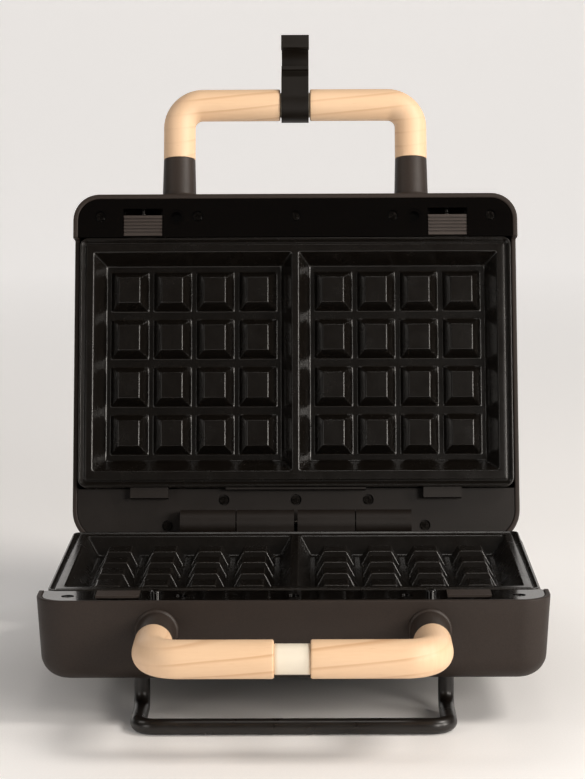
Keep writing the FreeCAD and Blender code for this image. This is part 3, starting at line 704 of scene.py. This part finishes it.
def waffle_surface(xs, ys):
    """Height of the cooking face: two sloped trays, each with its grid of truncated blocks."""
    x, y = np.meshgrid(np.abs(xs), ys)
    x0, x1, y0, y1 = CAVITY
    f0, f1, g0, g1 = CAVITY_FLOOR
    depth = LAND - FLOOR
    sides = (ramp(x, x0, f0), ramp(x, x1, f1), ramp(y, y0, g0), ramp(y, y1, g1))
    wall = None
    for t in sides:
        slope = LAND - depth * t
        wall = slope if wall is None else smooth_max(wall, slope, WALL_BLEND)
    tray = smooth_max(wall, np.full_like(wall, FLOOR), FLOOR_BLEND)
    blocks = np.full_like(wall, FLOOR - UNDER_FLOOR)
    cx = (f0 + f1) / 2
    cy = (g0 + g1) / 2
    rise = TOP - FLOOR
    for i in range(ROWS):
        for j in range(ROWS):
            dx = np.abs(x - cx - (i - (ROWS - 1) / 2) * PITCH[0])
            dy = np.abs(y - cy - (j - (ROWS - 1) / 2) * PITCH[1])
            sx = rise * ramp(dx, BLOCK_BASE[0], BLOCK_TOP[0])
            sy = rise * ramp(dy, BLOCK_BASE[1], BLOCK_TOP[1])
            flanks = FLOOR + smooth_min(sx, sy, FLANK_BLEND)
            blocks = np.maximum(blocks, smooth_min(flanks, np.full_like(sx, TOP), TOP_BLEND))
    surface = smooth_max(tray, blocks, FOOT_BLEND)
    return smooth_min(surface, np.full_like(surface, LAND), LAND_BLEND)


def plate(half):
    """The cooking face on its own grid, and the edge, side and underside of the plate round it."""
    half_width = PLATE_HALF - PLATE_FACE_INSET
    span_y = (PLATE_FRONT + PLATE_FACE_INSET, PLATE_REAR - PLATE_FACE_INSET)
    x0, x1, y0, y1 = CAVITY
    f0, f1, g0, g1 = CAVITY_FLOOR
    x_edges = [(x0 - GRID_MARGIN, f0 + GRID_MARGIN), (f1 - GRID_MARGIN, x1 + GRID_MARGIN)]
    y_edges = [(y0 - GRID_MARGIN, g0 + GRID_MARGIN), (g1 - GRID_MARGIN, y1 + GRID_MARGIN)]
    for i in range(ROWS):
        cx = (f0 + f1) / 2 + (i - (ROWS - 1) / 2) * PITCH[0]
        cy = (g0 + g1) / 2 + (i - (ROWS - 1) / 2) * PITCH[1]
        for s in (-1, 1):
            x_edges.append(tuple(sorted((cx + s * (BLOCK_BASE[0] + GRID_MARGIN),
                                         cx + s * (BLOCK_TOP[0] - GRID_MARGIN)))))
            y_edges.append(tuple(sorted((cy + s * (BLOCK_BASE[1] + GRID_MARGIN),
                                         cy + s * (BLOCK_TOP[1] - GRID_MARGIN)))))
    right = lines(x_edges, (0.0, half_width))
    xs = np.concatenate([-right[:0:-1], right])
    ys = lines(y_edges, span_y)
    net = Net()
    net.grid(xs, ys, waffle_surface(xs, ys))

    profile = [(0.0, -PLATE_THICK)]
    for across, height, r, start, end in PLATE_EDGE:
        profile += arc_points(across, height, r, math.radians(start), math.radians(end), 4)
    profile.append((PLATE_FACE_INSET, LAND))
    rings = []
    for d, z in profile:
        r = max(PLATE_CORNER - d, LEAST_CORNER)
        ring = rounded_rect(-PLATE_HALF + d, PLATE_HALF - d, PLATE_FRONT + d, PLATE_REAR - d, r)
        rings.append([(x, y, z) for x, y in ring])
    net.rings(rings, cap_end=False)
    piece(half + "_waffle_plate", net, half, "nonstick", [half + "_plate"], 70.0)


# ---- Handles ----

def handle(half):
    """A bail handle: two bent wooden grips, the sleeve between them, and the two collars."""
    for side, word in ((-1, "left"), (1, "right")):
        net = Net()
        net.rings(tube_rings([(side * HANDLE_X, -COLLAR_END, HANDLE_Z),
                              (side * HANDLE_X, -HANDLE_OUT, HANDLE_Z),
                              (side * SLEEVE_HALF, -HANDLE_OUT, HANDLE_Z)],
                             [BEND_R], GRIP_R, 56, GRIP_END_ROUNDS))
        piece("%s_%s_wood" % (half, word), net, half, "wood", ["%s_%s_grip" % (half, word)])
    net = Net()
    profile = [(-SLEEVE_HALF, SLEEVE_R - SLEEVE_EDGE), (-SLEEVE_HALF + SLEEVE_EDGE, SLEEVE_R)]
    profile += [(-SLEEVE_HALF + 2 * SLEEVE_HALF * i / 8, SLEEVE_R) for i in range(1, 8)]
    profile += [(SLEEVE_HALF - SLEEVE_EDGE, SLEEVE_R), (SLEEVE_HALF, SLEEVE_R - SLEEVE_EDGE)]
    net.rings(lathe(profile, (0, -HANDLE_OUT, HANDLE_Z), "X"))
    piece(half + "_sleeve", net, half, "sleeve", [half + "_handle_sleeve"])
    profile = [(-COLLAR_END + COLLAR_EDGE * (1 - math.cos(a)),
                COLLAR_TIP_R - COLLAR_EDGE * (1 - math.sin(a))) for a in quarter_turn()]
    profile += [(along, COLLAR_R + extra) for along, extra in COLLAR_FLARE]
    profile.append((COLLAR_SUNK - HANDLE_Z * LEAN, COLLAR_R + COLLAR_FLARE[-1][1]))
    net = Net()
    for x in (-HANDLE_X, HANDLE_X):
        net.rings(lathe(profile, (x, 0, HANDLE_Z), "Y", 56))
    piece(half + "_collars", net, half, "collar", [half + "_handle_collars"])


# ---- Stands ----

def stand(name, mirrored):
    """A bent wire: down from the underside, out past the rim and across."""
    def at(x, y, z):
        return (x, DEPTH - y if mirrored else y, z)

    net = Net()
    net.rings(tube_rings([at(-LEG_X, LEG_Y, -HEIGHT), at(-LEG_X, LEG_Y, FOOT_Z),
                          at(-LEG_X, FOOT_Y, FOOT_Z), at(LEG_X, FOOT_Y, FOOT_Z),
                          at(LEG_X, LEG_Y, FOOT_Z), at(LEG_X, LEG_Y, -HEIGHT)],
                         STAND_BENDS, STAND_WIRE_R, 32))
    piece(name + "_wire", net, "base", "stand", [name])


# ---- Return springs of the release sliders ----

def slider_spring(half, side):
    """A coil of wire from its seat to its lug beside a slider, on a mesh of its own."""
    word = "left" if side < 0 else "right"
    name = "%s_%s_button_spring" % (half, word)
    x = side * BUTTON_X
    length = SPRING_LUG - SPRING_SEAT
    steps, wire_sides = 120, 10
    rings = []
    for i in range(steps + 1):
        a = 2 * math.pi * COIL_TURNS * i / steps
        out = Vector((math.cos(a), 0, math.sin(a)))
        along = SPRING_SEAT + SPRING_WIRE_R + (length - 2 * SPRING_WIRE_R) * i / steps
        centre = Vector((x, along, SPRING_Z)) + out * COIL_R
        rings.append([centre + out * SPRING_WIRE_R * math.cos(b)
                      + Vector((0, SPRING_WIRE_R * math.sin(b), 0))
                      for b in (2 * math.pi * k / wire_sides for k in range(wire_sides))])
    net = Net()
    net.rings(rings)
    coil = piece(name + "_coil", net, half, "spring_steel", [name])
    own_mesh(coil)


# ---- CAD nodes that keep their shape ----

# Width of the softened edges of each kind of piece
BEVELS = {
    "strip": 0.3,
    "cover": 0.35,
    "button": 0.22,
    "clip": 0.5,
    "screw": 0.3,
    "rubber": 0.4,
    "steel": 0.2,
}


def dress_cad_nodes():
    """Gives every carried-over CAD node its material; those of the kinds in BEVELS also get merged flat faces and
    softened edges.
    """
    slots = {s["node"]: s["material_slot"] for s in frame["record"]["subparts"]}
    for name, obj in frame["nodes"].items():
        slot = slots[name]
        obj.data.materials.clear()
        obj.data.materials.append(MATERIALS[slot])
        if slot not in BEVELS:
            continue
        flat = obj.modifiers.new("merge_flat", "DECIMATE")
        flat.decimate_type = "DISSOLVE"
        flat.angle_limit = math.radians(1.0)
        bevel = obj.modifiers.new("soft_edges", "BEVEL")
        bevel.width = BEVELS[slot] * MM
        bevel.segments = 3
        bevel.limit_method = "ANGLE"
        bevel.angle_limit = math.radians(35)
        bevel.harden_normals = True


# ---- Stage, light and camera ----

def stage():
    """A paper sweep under and behind the object. The paper glows as painted light, more with distance from the
    object.
    """
    floor_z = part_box("front_stand")[0].z
    s = Shader("studio_paper", Roughness=0.9)
    broad = s.mix(s.noise(1.5, 3), (0.80, 0.785, 0.77), (0.83, 0.815, 0.80))
    s.colour(s.mix(s.remap(s.noise(900, 2), 0.0, 0.10, 0.40, 0.65), broad, (0.52, 0.50, 0.485)))
    s.bump((s.noise(700, 3), 0.08, 0.0002))
    # Painted light: the paper's own emission. There is none right under the object; a faint glow from about a
    # quarter metre out lifts the floor's shade, and a stronger glow further off brightens the backdrop.
    distance = s.node("VectorMath", operation="LENGTH")
    s.link(s.mapped((1.0, 0.8, 0.0)), distance.inputs["Vector"])
    near, far = (s.remap(distance.outputs["Value"], 0.0, glow, start, end)
                 for glow, start, end in ((0.22, 0.10, 0.23), (0.25, 0.4, 1.9)))
    s.bsdf.inputs["Emission Color"].default_value = (1.0, 0.975, 0.96, 1)
    s.link(s.math("ADD", near, far), s.bsdf.inputs["Emission Strength"])
    back, bend, height, half_width, front = 3.6, 1.3, 3.2, 5.0, -4.0
    profile = [(front, 0.0), (front * 0.4, 0.0), (back - bend, 0.0)]
    profile += [(back - bend + bend * math.sin(a), bend * (1 - math.cos(a)))
                for a in quarter_turn(16)[1:]]
    profile.append((back, height))
    verts = []
    for y, z in profile:
        verts += [(-half_width, y, floor_z + z), (half_width, y, floor_z + z)]
    faces = [(2 * i, 2 * i + 1, 2 * i + 3, 2 * i + 2) for i in range(len(profile) - 1)]
    mesh = bpy.data.meshes.new("paper_sweep")
    mesh.from_pydata(verts, [], faces)
    mesh.shade_smooth()
    mesh.materials.append(s.mat)
    obj = bpy.data.objects.new("paper_sweep", mesh)
    bpy.context.scene.collection.objects.link(obj)


def area_light(name, location, target, size, energy, colour):
    """A rectangular lamp aimed at a point."""
    light = bpy.data.lights.new(name, "AREA")
    light.shape = "RECTANGLE"
    light.size, light.size_y = size
    light.energy = energy
    light.color = colour
    obj = bpy.data.objects.new(name, light)
    obj.location = location
    obj.rotation_euler = (Vector(target) - Vector(location)).to_track_quat("-Z", "Y").to_euler()
    bpy.context.scene.collection.objects.link(obj)


# Name, place, target, size, watts and colour of each lamp, in metres
AREA_LIGHTS = (
    ("key", (1.82, -0.95, 0.72), (0, 0, 0.15), (0.35, 0.7), 20, (1.0, 0.94, 0.875)),
    ("high", (1.30, -0.45, 1.60), (0, 0, 0.1), (0.6, 0.6), 19, (1.0, 0.945, 0.885)),
    ("front", (1.25, -2.0, 0.80), (0, -0.1, 0.1), (0.7, 0.7), 24, (1.0, 0.945, 0.885)),
    ("top", (0.1, -0.30, 2.1), (0, 0, 0.1), (0.4, 0.3), 2.5, (1.0, 0.95, 0.90)),
    ("left", (-1.45, -0.1, 1.45), (0, 0, 0.1), (0.4, 0.4), 3.5, (1.0, 0.95, 0.90)),
    ("fill", (-1.6, -1.7, 0.6), (0, 0, 0.15), (0.8, 0.8), 7, (1.0, 0.95, 0.90)),
)


def lights():
    """The lamps, a faint warm surround, and plain colour handling."""
    world = bpy.data.worlds.new("studio")
    world.use_nodes = True
    background = world.node_tree.nodes["Background"]
    background.inputs["Color"].default_value = (1.0, 0.95, 0.90, 1)
    background.inputs["Strength"].default_value = 0.06
    bpy.context.scene.world = world
    for values in AREA_LIGHTS:
        area_light(*values)
    bpy.context.scene.view_settings.view_transform = "Standard"
    bpy.context.scene.view_settings.look = "None"


def camera():
    """The viewing position: 1.35 m in front of the rim, 0.31 m above the split plane."""
    side, distance, height = 12.7, 1345.9, 314.1
    pitch, yaw, roll = 8.42, 0.53, -0.29
    frame_height, focal_length = 779.0, 2558.0
    cam = bpy.data.cameras.new("view")
    cam.sensor_width = 36.0
    cam.lens = cam.sensor_width * focal_length / frame_height
    cam.clip_start = 0.05
    obj = bpy.data.objects.new("view", cam)
    obj.location = BASE @ Vector((side, -distance, height))
    obj.rotation_euler = (Matrix.Rotation(math.radians(yaw), 4, "Z")
                          @ Matrix.Rotation(math.radians(90 - pitch), 4, "X")
                          @ Matrix.Rotation(math.radians(roll), 4, "Z")).to_euler()
    bpy.context.scene.collection.objects.link(obj)
    bpy.context.scene.camera = obj


camera()
stage()
lights()
dress_cad_nodes()
housing("base", REAR_CUT)
housing("lid", 0.0)
for half_name in HALVES:
    plate(half_name)
    handle(half_name)
    for hand in (-1, 1):
        slider_spring(half_name, hand)
stand("front_stand", False)
stand("rear_stand", True)
